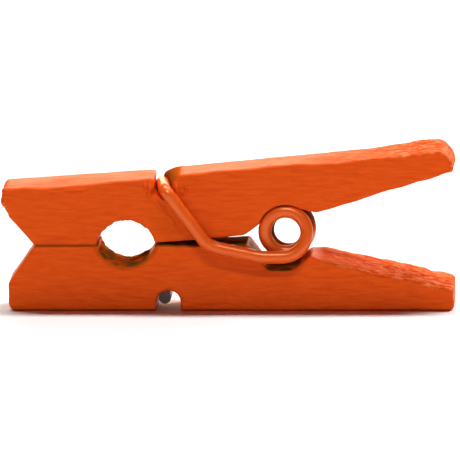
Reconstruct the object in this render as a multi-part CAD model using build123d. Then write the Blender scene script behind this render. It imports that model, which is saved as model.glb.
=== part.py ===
from build123d import *

import math
import os

# Miniature spring clothespin, closed and lying on its lower leg. Millimetres.
# +X runs from the jaws to the handles, +Y is away from the front face and +Z is up.
# The origin is the middle of the footprint, on the underside.

WOOD_W = 3.3
PART_Z = 3.71
JAW_GAP = 0.02
EDGE_R = 0.08

# Torsion spring: one wire with a coil of four and a half turns, two arms and two hooks.
# The coil leans: its far end lies lower than its near end.
AXIS_X = 3.21
AXIS_Z = 4.46
WIRE_D = 0.73
COIL_R = 1.155
COIL_STEP = 0.385
COIL_LEAN = 0.11
MIDDLE_HALF_TURNS = 7
ARM_Y = 2.04
EXIT_R = 1.34
END_QUARTER_R = 1.19
ARM_SWEEP_R = 5.0
ARM_BEND_R = 1.4
HOOK_BEND_R = 0.45
SEAT_R = 1.57

# Lower leg, anticlockwise from the tip: (x, z, corner radius).
LOWER_OUTLINE = [
    (-12.36, 0.0, 0.5),
    (12.59, 0.0, 0.3),
    (12.59, 1.34, 0.3),
    (4.58, 3.10, 0.2),
    (3.55, 2.36, 0.9),
    (2.12, 2.36, 0.7),
    (1.09, PART_Z - JAW_GAP / 2, 0.15),
    (-10.87, PART_Z - JAW_GAP / 2, 0.2),
    (-12.36, 1.56, 0.3),
]
LOWER_EYE = (-5.75, 4.35, 1.785)
LOWER_NOTCH_X = -3.39
LOWER_NOTCH_R = 0.73
LOWER_NOTCH_ROOT_Z = 1.18

# Upper leg, anticlockwise from the throat of the jaws: (x, z, corner radius).
UPPER_OUTLINE = [
    (-10.87, PART_Z + JAW_GAP / 2, 0.2),
    (-5.75, PART_Z + JAW_GAP / 2, 0.0),
    (-5.75, 3.80, 0.0),
    (-1.10, 4.12, 1.5),
    (0.90, 4.33, 0.4),
    (1.64, 4.86, 0.05),
    (3.20, 5.99, 0.0),
    (4.94, 5.60, 0.2),
    (12.55, 7.91, 0.12),
    (12.57, 9.15, 0.85),
    (-2.72, 7.70, 0.2),
    (-3.10, 7.28, 0.3),
    (-3.10, 6.42, 0.38),
    (-4.26, 6.42, 0.38),
    (-4.18, 7.53, 0.12),
    (-12.61, 6.96, 0.3),
    (-12.61, 5.77, 0.3),
]
UPPER_EYE = (-5.75, 3.45, 1.715)

# Corners of the two arms, from the coil outwards, and the ends of their hooks: (x, y, z).
FRONT_EXIT_Z = AXIS_Z - EXIT_R
BACK_EXIT_Z = AXIS_Z + EXIT_R - COIL_LEAN * (ARM_Y + MIDDLE_HALF_TURNS * COIL_STEP / 2)
FRONT_ARM = [
    (1.83, -ARM_Y, FRONT_EXIT_Z),
    (-1.13, -ARM_Y, 3.75),
    (-3.50, -ARM_Y, 6.92),
]
FRONT_HOOK_END = (-3.84, 1.30, 6.84)
BACK_ARM = [
    (1.83, ARM_Y, BACK_EXIT_Z),
    (-1.13, ARM_Y, 4.80),
    (-3.62, ARM_Y, 0.70),
]
BACK_HOOK_END = (-3.62, -1.20, 0.70)


def rounded_outline(corners):
    """The closed outline of a leg's side, with each corner rounded by its own radius."""
    face = make_face(Polyline([(x, z) for x, z, _ in corners], close=True))
    for x, z, radius in corners:
        if radius > 0:
            corner = min(face.vertices(), key=lambda v: math.hypot(v.X - x, v.Y - z))
            face = fillet(corner, radius)
    return face


def disc(x, z, radius):
    """A filled circle in the plane of the leg's side."""
    return Pos(x, z) * Circle(radius)


def leg(side):
    """A wooden leg: its side outline made solid across the width, its long edges eased."""
    solid = extrude(Plane.XZ * side, amount=WOOD_W / 2, both=True)
    rims = [e for e in solid.edges() if abs(abs(e.center().Y) - WOOD_W / 2) < 1e-6]
    return fillet(rims, EDGE_R)


def lower_side():
    """Side outline of the lower leg, less its half of the eye and its outer notch."""
    side = rounded_outline(LOWER_OUTLINE) - disc(*LOWER_EYE)
    centre_z = LOWER_NOTCH_ROOT_Z - LOWER_NOTCH_R
    side -= disc(LOWER_NOTCH_X, centre_z, LOWER_NOTCH_R)
    side -= Pos(LOWER_NOTCH_X, centre_z - 1) * Rectangle(2 * LOWER_NOTCH_R, 2)
    return side


def upper_side():
    """Side outline of the upper leg, less its half of the eye and its seat on the coil."""
    return rounded_outline(UPPER_OUTLINE) - disc(*UPPER_EYE) - disc(AXIS_X, AXIS_Z, SEAT_R)


def coil_point(i):
    """Top or bottom point of the wire after i middle half turns; the first is a top."""
    y = (i - MIDDLE_HALF_TURNS / 2) * COIL_STEP
    rise = COIL_R if i % 2 == 0 else -COIL_R
    return Vector(AXIS_X, y, AXIS_Z - COIL_LEAN * i * COIL_STEP + rise)


def half_turn(start, end, side):
    """A half circle between a top and a bottom of the coil, bulging to one side in X."""
    radius = (end - start).length / 2
    middle = (start + end) / 2 + Vector(side * radius, 0, 0)
    return Edge.make_three_point_arc(start, middle, end)


def quarter(start, centre, end):
    """A quarter circle about a centre."""
    radius = (start - centre).length
    middle = centre + ((start + end) / 2 - centre).normalized() * radius
    return Edge.make_three_point_arc(start, middle, end)


def end_half_turn(inner, y, z):
    """The half turn between the coil and an arm, as two quarters: the one by the arm is wider."""
    up = (inner - Vector(AXIS_X, y, z)).normalized()
    outer_r = (inner - Vector(AXIS_X, y, z)).length - END_QUARTER_R
    inner_centre = inner - up * END_QUARTER_R
    flank = inner_centre + Vector(END_QUARTER_R, 0, 0)
    outer_centre = flank - Vector(outer_r, 0, 0)
    leave = outer_centre - up * outer_r
    return [quarter(leave, outer_centre, flank), quarter(flank, inner_centre, inner)]


def arm(exit_point, corners, hook_end):
    """An arm and its hook, from the coil outwards, with its three bends rounded."""
    points = [exit_point, *[Vector(*p) for p in corners], Vector(*hook_end)]
    radii = [ARM_SWEEP_R, ARM_BEND_R, HOOK_BEND_R]
    return FilletPolyline(*points, radius=radii).edges()


def spring():
    """The torsion spring: a round wire carried along hooks, arms and coil."""
    tops_and_bottoms = [coil_point(i) for i in range(MIDDLE_HALF_TURNS + 1)]
    front_turn = end_half_turn(tops_and_bottoms[0], -ARM_Y, FRONT_EXIT_Z)
    back_turn = end_half_turn(tops_and_bottoms[-1], ARM_Y, BACK_EXIT_Z)
    edges = [*arm(front_turn[0] @ 0, FRONT_ARM, FRONT_HOOK_END), *front_turn]
    for i in range(MIDDLE_HALF_TURNS):
        side = -1 if i % 2 == 0 else 1
        edges.append(half_turn(tops_and_bottoms[i], tops_and_bottoms[i + 1], side))
    edges += [*back_turn, *arm(back_turn[0] @ 0, BACK_ARM, BACK_HOOK_END)]
    hook_end = Vector(*FRONT_HOOK_END)
    inward = (Vector(*FRONT_ARM[-1]) - hook_end).normalized()
    section = Plane(origin=hook_end, z_dir=inward) * Circle(WIRE_D / 2)
    return sweep(section, path=Wire(edges))


lower_leg = leg(lower_side())
upper_leg = leg(upper_side())
torsion_spring = spring()

os.makedirs("parts", exist_ok=True)
export_step(lower_leg, "parts/lower_leg.step")
export_step(upper_leg, "parts/upper_leg.step")
export_step(torsion_spring, "parts/torsion_spring.step")
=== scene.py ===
import math

import bpy
import numpy as np
from mathutils import Matrix, Vector, noise


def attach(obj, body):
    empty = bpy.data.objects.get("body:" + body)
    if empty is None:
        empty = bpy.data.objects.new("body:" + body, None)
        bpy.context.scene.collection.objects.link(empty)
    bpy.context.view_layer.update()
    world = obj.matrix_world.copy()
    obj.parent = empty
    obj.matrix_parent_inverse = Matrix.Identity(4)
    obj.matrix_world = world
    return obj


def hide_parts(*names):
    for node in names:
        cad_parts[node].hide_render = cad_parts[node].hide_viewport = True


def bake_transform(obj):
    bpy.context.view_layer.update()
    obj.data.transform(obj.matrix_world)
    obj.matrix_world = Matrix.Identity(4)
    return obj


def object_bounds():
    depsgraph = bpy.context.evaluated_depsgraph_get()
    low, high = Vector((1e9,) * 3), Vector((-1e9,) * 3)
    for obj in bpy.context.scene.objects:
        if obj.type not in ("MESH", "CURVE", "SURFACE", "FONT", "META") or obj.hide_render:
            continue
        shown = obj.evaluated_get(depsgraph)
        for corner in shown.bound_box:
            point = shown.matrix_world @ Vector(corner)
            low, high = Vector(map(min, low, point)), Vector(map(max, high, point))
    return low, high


# Orange painted miniature clothespin on a white table. Lengths are in millimetres until a
# mesh is finished, and then in metres, as the frame is.

MM = 0.001

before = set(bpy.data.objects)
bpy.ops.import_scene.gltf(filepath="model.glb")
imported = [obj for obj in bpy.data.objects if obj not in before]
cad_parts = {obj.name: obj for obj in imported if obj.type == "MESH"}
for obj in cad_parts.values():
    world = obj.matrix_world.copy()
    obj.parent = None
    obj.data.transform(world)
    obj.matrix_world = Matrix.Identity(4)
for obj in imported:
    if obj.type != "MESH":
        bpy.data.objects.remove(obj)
cad_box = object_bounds()

# ---------------------------------------------------------------- camera

VIEW_AZIMUTH = math.radians(3.0)
VIEW_ELEVATION = math.radians(9.4)
VIEW_DISTANCE = 0.60
VIEW_WIDTH = 25.77 * MM
SENSOR = 36.0
FRONT_FACE_Y = -1.65
AIM_ASIDE = 0.11 * MM
AIM_HEIGHT_SHARE = 0.5083


def add_camera():
    """A long lens a little above the table, turned so that the legs lie level."""
    low, high = cad_box
    aim_x = (low.x + high.x) / 2 + AIM_ASIDE
    aim = Vector((aim_x, FRONT_FACE_Y * MM, AIM_HEIGHT_SHARE * (low.z + high.z)))
    back = Vector((
        math.sin(VIEW_AZIMUTH) * math.cos(VIEW_ELEVATION),
        -math.cos(VIEW_AZIMUTH) * math.cos(VIEW_ELEVATION),
        math.sin(VIEW_ELEVATION),
    ))
    right = (Vector((1, 0, 0)) - back * back.x).normalized()
    up = back.cross(right)
    camera = bpy.data.objects.new("camera", bpy.data.cameras.new("camera"))
    camera.matrix_world = (
        Matrix.Translation(aim + back * VIEW_DISTANCE)
        @ Matrix((right, up, back)).transposed().to_4x4()
    )
    camera.data.sensor_width = SENSOR
    camera.data.lens = SENSOR * VIEW_DISTANCE / VIEW_WIDTH
    camera.data.clip_start = 0.05
    camera.data.clip_end = 5.0
    bpy.context.scene.collection.objects.link(camera)
    bpy.context.scene.camera = camera


# ---------------------------------------------------------------- stage

WHITE = (1.0, 1.0, 1.0)
WARM = (1.0, 0.84, 0.60)
TABLE_COLOUR = (0.95, 0.95, 0.95, 1.0)
TABLE_HALF_SIDE = 2.0
ROOM_STRENGTH = 0.01
LIGHT_AIM = Vector((0, 0, 0.004))

# Lights in metres and watts: (name, place, width, height, power, colour).
LIGHTS = [
    ("overhead", (0.0, 0.086, 0.42), 0.34, 0.07, 2.05, WHITE),
    ("front", (0.0, -0.80, 0.11), 3.0, 0.22, 1.0, WHITE),
    ("side", (0.33, 0.30, 0.28), 0.25, 0.25, 2.2, WHITE),
    ("backdrop", (0.0, 0.62, 0.13), 0.60, 0.30, 2.2, WARM),
]
KEY_LIGHT = ("key", (0.0, -0.225, 0.355), 0.12, 0.04, 0.8, WHITE)


def add_area_light(name, place, width, height, watts, colour):
    """A soft light that looks at the middle of the object."""
    data = bpy.data.lights.new(name, "AREA")
    data.shape = "RECTANGLE"
    data.size = width
    data.size_y = height
    data.energy = watts
    data.color = colour
    light = bpy.data.objects.new(name, data)
    light.location = place
    light.rotation_mode = "QUATERNION"
    light.rotation_quaternion = (LIGHT_AIM - Vector(place)).to_track_quat("-Z", "Y")
    bpy.context.scene.collection.objects.link(light)
    return light


def add_stage():
    """A white table in a dim room, under soft lights on every side."""
    scene = bpy.context.scene
    scene.view_settings.view_transform = "Standard"
    scene.view_settings.look = "None"

    world = bpy.data.worlds.new("dim_room")
    scene.world = world
    world.use_nodes = True
    background = world.node_tree.nodes["Background"]
    background.inputs["Color"].default_value = (*WHITE, 1.0)
    background.inputs["Strength"].default_value = ROOM_STRENGTH

    table_material = bpy.data.materials.new("white_table")
    table_material.use_nodes = True
    shader = table_material.node_tree.nodes["Principled BSDF"]
    shader.inputs["Base Color"].default_value = TABLE_COLOUR
    shader.inputs["Roughness"].default_value = 0.7
    shader.inputs["Specular IOR Level"].default_value = 0.2
    mesh = bpy.data.meshes.new("table")
    half = TABLE_HALF_SIDE
    corners = [(-half, -half, 0), (half, -half, 0), (half, half, 0), (-half, half, 0)]
    mesh.from_pydata(corners, [], [(0, 1, 2, 3)])
    mesh.materials.append(table_material)
    table = bpy.data.objects.new("table", mesh)
    scene.collection.objects.link(table)

    for light in LIGHTS:
        add_area_light(*light)


def add_key_light(pieces):
    """A strip above the front that lights the object only, so the table stays even."""
    key = add_area_light(*KEY_LIGHT)
    lit = bpy.data.collections.new("lit_by_key")
    for piece in pieces:
        lit.objects.link(piece)
    key.light_linking.receiver_collection = lit


# ---------------------------------------------------------------- shaping


def ramp(value, low, high):
    """0 at low, 1 at high and smooth between; low may be above high."""
    t = np.clip((value - low) / (high - low), 0, 1)
    return t * t * (3 - 2 * t)


def window(value, low, high, soft):
    """1 between low and high, fading to 0 over a soft margin outside them."""
    return ramp(value, low - soft, low) * ramp(value, high + soft, high)


def field(points, scale, seed=0.0):
    """Noise from about -1 to 1 at each point, of one feature per unit of scaled length."""
    scaled = points * np.array(scale) + seed
    return np.array([noise.noise(p) for p in scaled.tolist()])


# ---------------------------------------------------------------- spring

AXIS_X = 3.21
AXIS_Z = 4.46
WIRE_R = 0.365
COIL_WIRE_R = 0.35
GAP_FILL = 0.045
COIL_R = 1.155
COIL_STEP = 0.385
COIL_LEAN = 0.11
COIL_DRIFT = 0.03
MIDDLE_HALF_TURNS = 7
ARM_Y = 2.04
EXIT_R = 1.34
END_QUARTER_R = 1.19
ARM_RADII = (5.0, 1.4, 0.45)
FRONT_EXIT_Z = AXIS_Z - EXIT_R
BACK_EXIT_Z = AXIS_Z + EXIT_R - COIL_LEAN * (ARM_Y + MIDDLE_HALF_TURNS * COIL_STEP / 2)
FRONT_ARM = [(1.83, -ARM_Y, FRONT_EXIT_Z), (-1.13, -ARM_Y, 3.75), (-3.50, -ARM_Y, 6.92)]
FRONT_HOOK_END = (-3.84, 1.30, 6.84)
BACK_ARM = [(1.83, ARM_Y, BACK_EXIT_Z), (-1.13, ARM_Y, 4.80), (-3.62, ARM_Y, 0.70)]
BACK_HOOK_END = (-3.62, -1.20, 0.70)
STEP = 0.09
RING = 32
WIRE_WAVES = 0.012


def along_arc(start, centre, end):
    """Points along the arc of under half a turn, from start up to but not including end."""
    a = start - centre
    b = end - centre
    angle = a.angle(b)
    count = max(3, round(angle * a.length / STEP))
    points = []
    for i in range(count):
        t = i / count
        mix = (a * math.sin((1 - t) * angle) + b * math.sin(t * angle)) / math.sin(angle)
        points.append(centre + mix)
    return points


def along_line(start, end):
    """Points along the line, from start up to but not including end."""
    count = max(1, round((end - start).length / STEP))
    return [start.lerp(end, i / count) for i in range(count)]


def arm_points(exit_point, corners, hook_end):
    """Points along an arm and its hook, from the coil outwards, through rounded corners."""
    route = [exit_point, *[Vector(p) for p in corners], Vector(hook_end)]
    points = []
    at = route[0]
    for i, radius in enumerate(ARM_RADII, start=1):
        corner = route[i]
        before = (route[i - 1] - corner).normalized()
        after = (route[i + 1] - corner).normalized()
        half = before.angle(after) / 2
        reach = radius / math.tan(half)
        centre = corner + (before + after).normalized() * (radius / math.sin(half))
        points += along_line(at, corner + before * reach)
        points += along_arc(corner + before * reach, centre, corner + after * reach)
        at = corner + after * reach
    points += along_line(at, route[-1])
    points.append(route[-1])
    return points


def coil_point(i):
    """Top or bottom point of the wire after i middle half turns; the first is a top."""
    y = (i - MIDDLE_HALF_TURNS / 2) * COIL_STEP
    rise = COIL_R if i % 2 == 0 else -COIL_R
    x = AXIS_X + COIL_DRIFT * i * COIL_STEP
    return Vector((x, y, AXIS_Z - COIL_LEAN * i * COIL_STEP + rise))


def end_turn(inner, y, z):
    """The points that set the wider half turn by an arm, from the arm to the coil."""
    up = (inner - Vector((AXIS_X, y, z))).normalized()
    outer_r = (inner - Vector((AXIS_X, y, z))).length - END_QUARTER_R
    inner_centre = inner - up * END_QUARTER_R
    flank = inner_centre + Vector((END_QUARTER_R, 0, 0))
    outer_centre = flank - Vector((outer_r, 0, 0))
    return outer_centre - up * outer_r, outer_centre, flank, inner_centre, inner


def spring_route():
    """Centre line of the wire, from the upper hook through the coil to the lower hook."""
    turns = [coil_point(i) for i in range(MIDDLE_HALF_TURNS + 1)]
    leave, outer, flank, inner, top = end_turn(turns[0], -ARM_Y, FRONT_EXIT_Z)
    points = arm_points(leave, FRONT_ARM, FRONT_HOOK_END)[:0:-1]
    points += along_arc(leave, outer, flank) + along_arc(flank, inner, top)
    for i in range(MIDDLE_HALF_TURNS):
        side = -1 if i % 2 == 0 else 1
        centre = (turns[i] + turns[i + 1]) / 2
        middle = centre + Vector((side * (turns[i + 1] - turns[i]).length / 2, 0, 0))
        points += along_arc(turns[i], centre, middle) + along_arc(middle, centre, turns[i + 1])
    leave, outer, flank, inner, bottom = end_turn(turns[-1], ARM_Y, BACK_EXIT_Z)
    points += along_arc(bottom, inner, flank) + along_arc(flank, outer, leave)
    points += arm_points(leave, BACK_ARM, BACK_HOOK_END)
    return points


def tube(points, section_at):
    """Vertices, painted-shade shares, faces and caps of a closed tube with untwisted rings."""
    verts = []
    thin_paint_and_shade = []
    faces = []
    tangents = []
    for i in range(len(points)):
        ahead = points[min(i + 1, len(points) - 1)]
        behind = points[max(i - 1, 0)]
        tangents.append((ahead - behind).normalized())
    side = tangents[0].orthogonal().normalized()
    for point, tangent in zip(points, tangents):
        side = (side - tangent * side.dot(tangent)).normalized()
        other = tangent.cross(side)
        for k in range(RING):
            angle = 2 * math.pi * k / RING
            out = side * math.cos(angle) + other * math.sin(angle)
            radius, share = section_at(point, out)
            verts.append(point + out * radius)
            thin_paint_and_shade.append(share)
    for i in range(len(points) - 1):
        for k in range(RING):
            n = (k + 1) % RING
            a = i * RING
            faces.append((a + k, a + n, a + RING + n, a + RING + k))
    last = (len(points) - 1) * RING
    caps = [tuple(range(RING - 1, -1, -1)), tuple(last + k for k in range(RING))]
    return verts, thin_paint_and_shade, faces, caps


def add_object(name, verts, faces, materials):
    """A smooth-shaded object made from vertices in millimetres."""
    mesh = bpy.data.meshes.new(name)
    mesh.from_pydata([tuple(v * MM for v in vert) for vert in verts], [], faces)
    mesh.polygons.foreach_set("use_smooth", [True] * len(mesh.polygons))
    for material in materials:
        mesh.materials.append(material)
    piece = bpy.data.objects.new(name, mesh)
    bpy.context.scene.collection.objects.link(piece)
    return piece


def add_share(piece, title, values):
    """A number from 0 to 1 at each vertex, for the piece's material to read."""
    attribute = piece.data.attributes.new(title, "FLOAT", "POINT")
    attribute.data.foreach_set("value", np.asarray(values, dtype=np.float32))


def wire_section(point, out):
    """Radius and painted-shade share of the wire at one place, facing one way."""
    from_axis = math.hypot(point.x - AXIS_X, point.z - AXIS_Z)
    in_coil = from_axis < 1.5 and point.x > AXIS_X - 1.4 and abs(point.y) < 1.9
    inner_turn = in_coil and point.y > -0.8
    plain = COIL_WIRE_R + GAP_FILL * out.y ** 2 if inner_turn else WIRE_R
    radius = plain + noise.noise((point + out * WIRE_R) * 1.3) * WIRE_WAVES
    # The share is painted shade: dark between the turns of the coil, fainter on the coil's inner
    # side, and dark on the back turns' upper right corner, which lies in shade.
    share = 0.0
    if in_coil and (out.y > 0 or inner_turn):
        share = float(ramp(abs(out.y), 0.35, 0.65))
        inward = (out.x * (AXIS_X - point.x) + out.z * (AXIS_Z - point.z)) / from_axis
        share = max(share, 0.3 * float(ramp(inward, 0.0, 0.5)))
    if in_coil and point.y > -1.1:
        corner = ramp(point.x + out.x * WIRE_R, AXIS_X + 0.4, AXIS_X + 1.0)
        corner *= ramp(point.z + out.z * WIRE_R, AXIS_Z - 0.5, AXIS_Z + 0.4)
        share = max(share, 0.85 * float(corner))
    return radius, share


def add_spring(paint, bare):
    """The painted wire, one tube from the upper hook through the coil to the lower hook."""
    verts, thin_paint_and_shade, faces, caps = tube(spring_route(), wire_section)
    spring = add_object("spring_wire", verts, faces + caps, [paint, bare])
    add_share(spring, "thin_paint_and_shade", thin_paint_and_shade)
    for polygon in spring.data.polygons[-len(caps):]:
        polygon.material_index = 1
        polygon.use_smooth = False
    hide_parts("torsion_spring")
    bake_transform(spring)
    return spring


# ---------------------------------------------------------------- legs

VOXEL = 0.055
SOFTEN_STEPS = 7
HALF_W = 1.65
PART_Z = 3.71
EYE_X = -5.75
LOWER_EYE_Z = 4.35
UPPER_EYE_Z = 3.45

# How far the wear and the paint stand out or cut in, in millimetres.
PAINT_THICKNESS = 0.030
EYE_CHIPS = 0.07
FOOT_R = 0.19
LOWER_STROKES = 0.085
LOWER_EDGE_WAVES = 0.07
UPPER_STROKES = 0.06
UPPER_EDGE_WAVES = 0.05
TOP_EDGE_CHIPS = 0.09
ARM_WEB = 0.40
PARTING_LIP = 0.08
ARM_STRANDS = 0.05
TIP_WAVES = 0.12
UNDERSIDE_WAVES = 0.09

# How strong the painted shade is on a leg, from 0 to 1.
SLOPE_SHADE = 0.15
PARTING_SHADE = 0.6
EYE_RIM_SHADE = 0.3
ARM_SIDE_SHADE = 0.12


def remeshed(node):
    """The CAD leg as an even mesh in millimetres: (vertices, normals, faces)."""
    source = bpy.data.objects.new("source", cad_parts[node].data.copy())
    source.data.transform(Matrix.Scale(1 / MM, 4))
    bpy.context.scene.collection.objects.link(source)
    modifier = source.modifiers.new("even", "REMESH")
    modifier.mode = "VOXEL"
    modifier.voxel_size = VOXEL
    smooth = source.modifiers.new("soften", "SMOOTH")
    smooth.factor = 0.5
    smooth.iterations = SOFTEN_STEPS
    bpy.context.view_layer.update()
    depsgraph = bpy.context.evaluated_depsgraph_get()
    mesh = bpy.data.meshes.new_from_object(source.evaluated_get(depsgraph))
    verts = np.empty(len(mesh.vertices) * 3)
    normals = np.empty(len(mesh.vertices) * 3)
    mesh.vertices.foreach_get("co", verts)
    mesh.vertex_normals.foreach_get("vector", normals)
    faces = [tuple(p.vertices) for p in mesh.polygons]
    bpy.data.objects.remove(source)
    return verts.reshape(-1, 3), normals.reshape(-1, 3), faces


def profile(x, points):
    """A line through the points (x, value), read at every x."""
    return np.interp(x, [p[0] for p in points], [p[1] for p in points])


def coat(verts):
    """Thickness of the paint over a leg: dents, brush marks and lumps."""
    dents = field(verts, (0.45, 0.8, 0.8)) * 0.025
    brushed = field(verts, (0.6, 6.5, 6.5), 7.0) * 0.009
    lumps = np.clip(field(verts, (1.6, 1.6, 1.6), 19.0) - 0.35, 0, 1) * 0.05
    return PAINT_THICKNESS + dents + brushed + lumps


def eye_chips(verts, normals, eye_z):
    """Radial raggedness of the eye's wall, strongest at the front edge."""
    x, y, z = verts.T
    away = np.stack([x - EYE_X, 0 * y, z - eye_z], axis=1)
    reach = np.linalg.norm(away, axis=1)
    away = away / np.maximum(reach, 0.1)[:, None]
    wall = window(reach, 1.5, 1.95, 0.1) * ramp(-(normals * away).sum(axis=1), 0.2, 0.6)
    rough = field(verts, (2.6, 1.0, 2.6), 41.0) + 0.5 * field(verts, (7.0, 2.0, 7.0), 43.0)
    return away * (wall * rough * EYE_CHIPS)[:, None]


def splinters(verts, seed):
    """Torn grain from about -1 to 1: short strokes along X with sharp crests."""
    coarse = 1 - 2.4 * np.abs(field(verts, (1.1, 3.0, 1.6), seed))
    fine = 1 - 2.4 * np.abs(field(verts, (2.6, 5.5, 3.0), seed + 31))
    return 0.6 * coarse + 0.4 * fine


def rounded_foot(verts, radius):
    """The move that rounds the long edges at the foot of a leg."""
    move = np.zeros_like(verts)
    inward = np.clip(radius - (HALF_W - np.abs(verts[:, 1])), 0, None)
    down = np.clip(radius - verts[:, 2], 0, None)
    pull = 1 - radius / np.maximum(np.hypot(inward, down), radius)
    move[:, 1] = -np.sign(verts[:, 1]) * inward * pull
    move[:, 2] = down * pull
    return move


def shape_lower(verts, normals):
    """Wear and painted shade of the lower leg: (move of each vertex, torn share, share of thin
    paint and painted shade).
    """
    x, y, z = verts.T
    nx, ny, nz = normals.T
    top = profile(x, [(4.58, 3.10), (12.59, 1.34)])
    handle = ramp(x, 4.6, 5.4)
    near_top = handle * ramp(z, top - 0.9, top - 0.15)
    torn = handle * ramp(nz, 0.15, 0.5) * profile(x, [(5.4, 0.35), (8.0, 0.8), (10.0, 1.0)])
    strokes = splinters(verts, 3.0)
    move = normals * (coat(verts) + torn * strokes * LOWER_STROKES)[:, None]
    move += eye_chips(verts, normals, LOWER_EYE_Z) + rounded_foot(verts, FOOT_R)
    ragged = np.clip(field(verts, (1.3, 0.3, 0.3), 11.0) + 0.2, 0, 1) * ramp(y, -0.9, -1.6)
    move[:, 2] += near_top * (0.15 * y / HALF_W - 0.14 * ragged)
    edge = window(x, -4.05, 1.05, 0.1) * ramp(z, 3.3, 3.55)
    move[:, 2] += edge * field(verts, (1.1, 0.6, 0.1), 13.0) * LOWER_EDGE_WAVES
    # Painted shade, with thin paint, darkens the face between the legs, the seat under the coil,
    # the front under the arm and the eye's wall.
    inner = window(x, -3.9, 0.9, 0.15) * ramp(nz, 0.3, 0.7) * ramp(z, 3.3, 3.5)
    seat = window(x, 2.3, 3.9, 0.4) * ramp(z, 2.9, 2.5) * ramp(nz, 0.1, 0.5)
    under = window(x, 2.5, 3.4, 0.5) * window(z, 2.40, 2.6, 0.12) * ramp(-ny, 0.3, 0.7)
    eye = window(x, -7.6, -4.6, 0.2) * ramp(z, 3.6, 3.4) * ramp(nz, 0.1, 0.4) * ramp(z, 2.3, 2.5)
    patchy = ramp(field(verts, (1.6, 2.4, 2.4), 23.0), -0.45, 0.15)
    thin_paint_and_shade = np.maximum(inner * (0.6 + 0.4 * patchy), eye * (0.35 + 0.6 * patchy))
    thin_paint_and_shade = np.maximum(thin_paint_and_shade, np.maximum(seat * (0.4 + 0.6 * patchy), under * patchy))
    # Painted shade alone darkens the lit slope of the seat, the seam between the legs, the
    # handle's face under the upper handle and a ring round the eye.
    slope = window(x, 1.1, 2.3, 0.15) * ramp(nx, 0.3, 0.6)
    parting = window(x, -10.8, 0.9, 0.15) * ramp(z, PART_Z - 0.13, PART_Z - 0.05)
    handle_shade = handle * ramp(nz, 0.15, 0.5) * profile(x, [(5.0, 0.22), (8.0, 0.10)])
    from_eye = np.hypot(x - EYE_X, z - LOWER_EYE_Z)
    rim = window(from_eye, 1.82, 1.95, 0.10) * ramp(-ny, 0.3, 0.7)
    for share in (SLOPE_SHADE * slope, PARTING_SHADE * parting, handle_shade, EYE_RIM_SHADE * rim):
        thin_paint_and_shade = np.maximum(thin_paint_and_shade, share)
    return move, torn, thin_paint_and_shade


# The front arm's upper end, and its direction from there down to its middle bend.
ARM_TOP_X, _, ARM_TOP_Z = FRONT_ARM[-1]
ARM_ALONG_X = 0.599
ARM_ALONG_Z = -0.801

# Lumps of paint beside the upper notch: (x, z, half width, half height, thickness).
NOTCH_LUMPS = [
    (-4.38, 6.98, 0.11, 0.32, 0.28),
    (-4.64, 7.08, 0.08, 0.22, 0.20),
    (-4.46, 6.60, 0.14, 0.14, 0.18),
    (-2.84, 7.00, 0.11, 0.24, 0.24),
    (-2.56, 6.82, 0.10, 0.15, 0.22),
    (-2.32, 7.00, 0.09, 0.14, 0.18),
]


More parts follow.
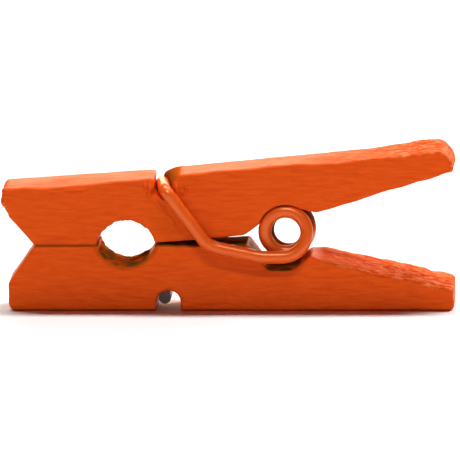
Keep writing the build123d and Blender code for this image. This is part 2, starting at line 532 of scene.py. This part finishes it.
def shape_upper(verts, normals):
    """Wear and painted shade of the upper leg: (move of each vertex, torn share, share of thin
    paint and painted shade).
    """
    x, y, z = verts.T
    nx, ny, nz = normals.T
    top = np.where(
        x < -3.6,
        profile(x, [(-12.6, 6.96), (-4.2, 7.53)]),
        profile(x, [(-2.7, 7.70), (11.85, 9.08)]),
    )
    near_top = ramp(z, top - 1.0, top - 0.15)
    torn = ramp(nz, 0.15, 0.5) * profile(x, [(3.0, 0.0), (8.0, 0.5), (10.5, 1.0)])
    torn = torn + ramp(nx, 0.2, 0.6) * ramp(x, 11.0, 11.6)
    torn = torn + ramp(-nx, 0.1, 0.5) * ramp(x, -11.9, -12.3)
    strokes = splinters(verts, 5.0)
    move = normals * (coat(verts) + np.clip(torn, 0, 1) * strokes * UPPER_STROKES)[:, None]
    move += eye_chips(verts, normals, UPPER_EYE_Z)
    sag = profile(x, [(-12.3, 0.02), (-9.6, 0.16), (-7.0, 0.06), (-4.5, 0.02), (3.2, 0.0),
                      (6.3, 0.16), (8.0, 0.08), (10.0, 0.13), (12.3, 0.08)])
    lift = profile(x, [(8.0, 0.0), (9.5, 0.08), (10.6, 0.16), (11.7, 0.13), (12.4, 0.0)])
    waves = field(verts, (0.9, 0.1, 0.1), 15.0) * UPPER_EDGE_WAVES
    front = ramp(y, 0.3, -1.6)
    move[:, 2] += near_top * (lift * ramp(y, -0.3, 1.6) - (sag + waves) * front)

    wall = window(x, -3.3, -2.7, 0.25) * ramp(z, 6.42, 6.6) * ramp(z, 7.9, 7.4)
    move[:, 0] -= wall * (0.03 + 0.11 * (y + HALF_W) + 0.28 * ramp(y, 1.2, 1.6))
    flat_front = ramp(-ny, 0.3, 0.7)
    for lump_x, lump_z, half_x, half_z, height in NOTCH_LUMPS:
        lump = np.exp(-((x - lump_x) / half_x) ** 2 - ((z - lump_z) / half_z) ** 2)
        move[:, 1] -= height * lump * flat_front
    chips = window(x, -9.9, -7.0, 0.3) * np.exp(-((z - top + 0.24) / 0.06) ** 2)
    chips = chips * ramp(field(verts, (1.2, 0.1, 0.1), 39.0), -0.3, 0.2)
    move[:, 1] -= TOP_EDGE_CHIPS * chips * flat_front

    along = (x - ARM_TOP_X) * ARM_ALONG_X + (z - ARM_TOP_Z) * ARM_ALONG_Z
    off = (z - ARM_TOP_Z) * ARM_ALONG_X - (x - ARM_TOP_X) * ARM_ALONG_Z
    web = window(along, 0.3, 2.0, 1.1) * ramp(off, -0.95, -0.34) * ramp(off, 0.1, -0.1)
    move[:, 1] -= ARM_WEB * web * flat_front
    # Painted shade on the front face to the left of the arm.
    shade = window(along, 0.8, 3.2, 0.8) * window(off, -1.5, -0.7, 0.5) * flat_front
    lip = np.exp(-((z - PART_Z - 0.17) / 0.06) ** 2) * window(x, -10.7, -1.2, 0.3)
    lip = lip * ramp(field(verts, (0.7, 0.1, 0.1), 37.0), -0.35, 0.1)
    move[:, 1] -= PARTING_LIP * lip * flat_front

    strands = window(along, -0.1, 1.5, 0.5) * window(off, -0.95, -0.45, 0.12) * np.cos(off * 21)
    move[:, 1] -= ARM_STRANDS * strands * flat_front

    tip = ramp(x, -11.9, -12.5)
    move[:, 0] += tip * profile(z, [(5.7, 0.06), (6.9, -0.06)])
    move[:, 0] += TIP_WAVES * tip * field(verts, (1.0, 2.2, 2.6), 33.0)
    underside = ramp(x, 4.8, 5.6) * ramp(nz, -0.3, -0.7)
    move[:, 2] += UNDERSIDE_WAVES * underside * field(verts, (0.9, 0.3, 0.1), 47.0)
    # Painted shade, with thin paint, darkens the underside between the legs and the eye's wall;
    # painted shade alone darkens the notch's right wall, which faces away from the light, and
    # the seam between the legs.
    inner = window(x, -1.2, 4.9, 0.2) * ramp(nz, 0.1, -0.3) * ramp(np.abs(ny), 0.75, 0.4)
    eye = window(x, -7.5, -4.0, 0.1) * ramp(z, 5.4, 5.2) * ramp(np.abs(ny), 0.75, 0.4)
    cut = wall * ramp(np.abs(ny), 0.9, 0.6) * ramp(nx, 0.1, -0.2)
    patchy = ramp(field(verts, (0.8, 1.4, 1.4), 29.0), -0.2, 0.4)
    thin_paint_and_shade = np.maximum(np.maximum(inner * patchy, 0.5 * eye * patchy), 0.7 * cut)
    parting = window(x, -10.8, -5.8, 0.15) * ramp(z, PART_Z + 0.11, PART_Z + 0.05)
    thin_paint_and_shade = np.maximum(thin_paint_and_shade, np.maximum(ARM_SIDE_SHADE * shade, PARTING_SHADE * parting))
    return move, np.clip(torn, 0, 1), thin_paint_and_shade


def add_leg(name, node, body, material, shape):
    """A wooden leg with softened edges, grain, chips and brushed paint."""
    verts, normals, faces = remeshed(node)
    move, torn, thin_paint_and_shade = shape(verts, normals)
    leg = add_object(name, verts + move, faces, [material])
    add_share(leg, "torn", torn)
    add_share(leg, "thin_paint_and_shade", thin_paint_and_shade)
    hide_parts(node)
    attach(leg, body)
    return leg


# ---------------------------------------------------------------- materials

NOISE_ROUGHNESS = 0.55


class Nodes:
    """A material's node tree, with short calls that add and join nodes."""

    def __init__(self, name):
        self.material = bpy.data.materials.new(name)
        self.material.use_nodes = True
        self.tree = self.material.node_tree
        self.shader = self.tree.nodes["Principled BSDF"]

    def join(self, output, target):
        self.tree.links.new(output, target)

    def add(self, kind):
        return self.tree.nodes.new(kind)

    def coordinates(self, scale):
        """Object coordinates in millimetres, times a scale for each axis."""
        source = self.add("ShaderNodeTexCoord")
        mapping = self.add("ShaderNodeMapping")
        mapping.inputs["Scale"].default_value = [s / MM for s in scale]
        self.join(source.outputs["Object"], mapping.inputs["Vector"])
        return mapping.outputs["Vector"]

    def noise(self, scale, detail=3.0, distortion=0.0):
        """Noise of about one feature per unit along each scaled axis, from 0 to 1."""
        texture = self.add("ShaderNodeTexNoise")
        texture.inputs["Scale"].default_value = 1.0
        texture.inputs["Detail"].default_value = detail
        texture.inputs["Roughness"].default_value = NOISE_ROUGHNESS
        texture.inputs["Distortion"].default_value = distortion
        self.join(self.coordinates(scale), texture.inputs["Vector"])
        return texture.outputs["Fac"]

    def ramp(self, value, stops):
        """A colour ramp of (position, colour) stops."""
        node = self.add("ShaderNodeValToRGB")
        self.join(value, node.inputs["Fac"])
        elements = node.color_ramp.elements
        while len(elements) < len(stops):
            elements.new(0.5)
        for element, (position, colour) in zip(elements, stops):
            element.position = position
            element.color = (*colour, 1.0)
        return node.outputs["Color"]

    def mix(self, factor, a, b):
        """A colour mix; each of factor, a and b is a socket or a plain value."""
        node = self.add("ShaderNodeMix")
        node.data_type = "RGBA"
        for value, target in ((factor, 0), (a, 6), (b, 7)):
            if isinstance(value, bpy.types.NodeSocket):
                self.join(value, node.inputs[target])
            elif target == 0:
                node.inputs[target].default_value = value
            else:
                node.inputs[target].default_value = (*value, 1.0)
        return node.outputs[2]

    def maths(self, operation, a, b):
        """One step of arithmetic on sockets or plain values."""
        node = self.add("ShaderNodeMath")
        node.operation = operation
        for value, target in ((a, 0), (b, 1)):
            if isinstance(value, bpy.types.NodeSocket):
                self.join(value, node.inputs[target])
            else:
                node.inputs[target].default_value = value
        return node.outputs[0]

    def attribute(self, title):
        """A share that the mesh stores at each vertex."""
        node = self.add("ShaderNodeAttribute")
        node.attribute_name = title
        return node.outputs["Fac"]

    def bump(self, height, distance):
        """Relief of a height that runs from 0 to 1, in millimetres."""
        node = self.add("ShaderNodeBump")
        node.inputs["Strength"].default_value = 1.0
        node.inputs["Distance"].default_value = distance * MM
        self.join(height, node.inputs["Height"])
        self.join(node.outputs["Normal"], self.shader.inputs["Normal"])


PAINT = (0.78, 0.088, 0.0045)
PAINT_DEEP = (0.64, 0.056, 0.0016)
PAINT_WIRE = (0.76, 0.105, 0.010)
PAINT_SCRAPED = (0.86, 0.24, 0.10)
PAINT_DARK = (0.55, 0.045, 0.001)
# The next two are painted shade: on the legs mixed with thin paint, on the wire between and
# inside the turns.
SHADE_AND_THIN_PAINT = (0.11, 0.058, 0.008)
SHADE_ON_WIRE = (0.040, 0.020, 0.006)
WIRE_SHEEN = (1.0, 0.42, 0.22, 1.0)
STEEL = (0.17, 0.13, 0.13)
STEEL_DARK = (0.09, 0.07, 0.07)
WOOD_GLOSS = 0.07
WIRE_IOR = 1.6
BLACK = (0.0, 0.0, 0.0)


def wood_paint():
    """Thin orange brushwork over coarse wood grain, scraped where the wood is torn, and darkened
    to a painted shade in hollows and between the legs.
    """
    nodes = Nodes("wood_paint")
    grain = nodes.noise((0.8, 6.0, 6.0), detail=4.0, distortion=0.5)
    patches = nodes.noise((0.4, 0.7, 0.7), detail=2.0)
    grain_share = nodes.ramp(grain, [(0.34, BLACK), (0.60, WHITE)])
    colour = nodes.mix(grain_share, PAINT_DEEP, PAINT)
    colour = nodes.mix(nodes.maths("MULTIPLY", patches, 0.7), colour, PAINT)
    strokes = nodes.noise((1.6, 5.0, 5.0), detail=3.0)
    torn = nodes.attribute("torn")
    bright = nodes.maths("MULTIPLY", nodes.ramp(strokes, [(0.50, BLACK), (0.62, WHITE)]), torn)
    dark = nodes.maths("MULTIPLY", nodes.ramp(strokes, [(0.40, WHITE), (0.48, BLACK)]), torn)
    colour = nodes.mix(nodes.maths("MULTIPLY", bright, 0.8), colour, PAINT_SCRAPED)
    colour = nodes.mix(nodes.maths("MULTIPLY", dark, 0.7), colour, PAINT_DARK)
    thin_paint_and_shade = nodes.attribute("thin_paint_and_shade")
    # Painted shade, with thin paint, in the hollows and between the legs.
    colour = nodes.mix(thin_paint_and_shade, colour, SHADE_AND_THIN_PAINT)
    nodes.join(colour, nodes.shader.inputs["Base Color"])
    worn = nodes.maths("MAXIMUM", thin_paint_and_shade, torn)
    roughness = nodes.ramp(grain, [(0.3, (0.50,) * 3), (0.7, (0.36,) * 3)])
    nodes.join(nodes.mix(worn, roughness, (0.65,) * 3), nodes.shader.inputs["Roughness"])
    nodes.shader.inputs["Specular IOR Level"].default_value = WOOD_GLOSS
    gloss = nodes.ramp(thin_paint_and_shade, [(0.0, (WOOD_GLOSS,) * 3), (0.25, BLACK)])
    nodes.join(gloss, nodes.shader.inputs["Specular IOR Level"])
    fine = nodes.noise((2.5, 9.0, 9.0), detail=4.0)
    nodes.bump(fine, 0.03)
    return nodes.material


def wire_paint():
    """Smoother, thicker orange paint on the wire, darkened with painted shade between the turns
    of the coil.
    """
    nodes = Nodes("wire_paint")
    patches = nodes.noise((1.2, 1.2, 1.2), detail=3.0)
    colour = nodes.mix(patches, PAINT, PAINT_WIRE)
    thin_paint_and_shade = nodes.attribute("thin_paint_and_shade")
    # Painted shade between the turns, inside the coil and on its shaded back corner.
    colour = nodes.mix(thin_paint_and_shade, colour, SHADE_ON_WIRE)
    nodes.join(colour, nodes.shader.inputs["Base Color"])
    roughness = nodes.ramp(patches, [(0.3, (0.33,) * 3), (0.7, (0.27,) * 3)])
    nodes.join(nodes.mix(thin_paint_and_shade, roughness, (0.9,) * 3), nodes.shader.inputs["Roughness"])
    nodes.shader.inputs["Specular Tint"].default_value = WIRE_SHEEN
    nodes.shader.inputs["IOR"].default_value = WIRE_IOR
    nodes.shader.inputs["Specular IOR Level"].default_value = 1.0
    gloss = nodes.ramp(thin_paint_and_shade, [(0.0, WHITE), (0.2, BLACK)])
    nodes.join(gloss, nodes.shader.inputs["Specular IOR Level"])
    nodes.bump(nodes.noise((5.0, 5.0, 5.0)), 0.01)
    return nodes.material


def bare_steel():
    """The wire's cut ends, bare and dull."""
    nodes = Nodes("bare_steel")
    grain = nodes.noise((9.0, 9.0, 9.0))
    colour = nodes.mix(grain, STEEL, STEEL_DARK)
    nodes.join(colour, nodes.shader.inputs["Base Color"])
    nodes.shader.inputs["Metallic"].default_value = 0.8
    nodes.shader.inputs["Roughness"].default_value = 0.5
    nodes.bump(grain, 0.02)
    return nodes.material


add_camera()
add_stage()
wood = wood_paint()
lower = add_leg("painted_lower_leg", "lower_leg", "lower_leg", wood, shape_lower)
upper = add_leg("painted_upper_leg", "upper_leg", "upper_leg", wood, shape_upper)
spring = add_spring(wire_paint(), bare_steel())
add_key_light([lower, upper, spring])
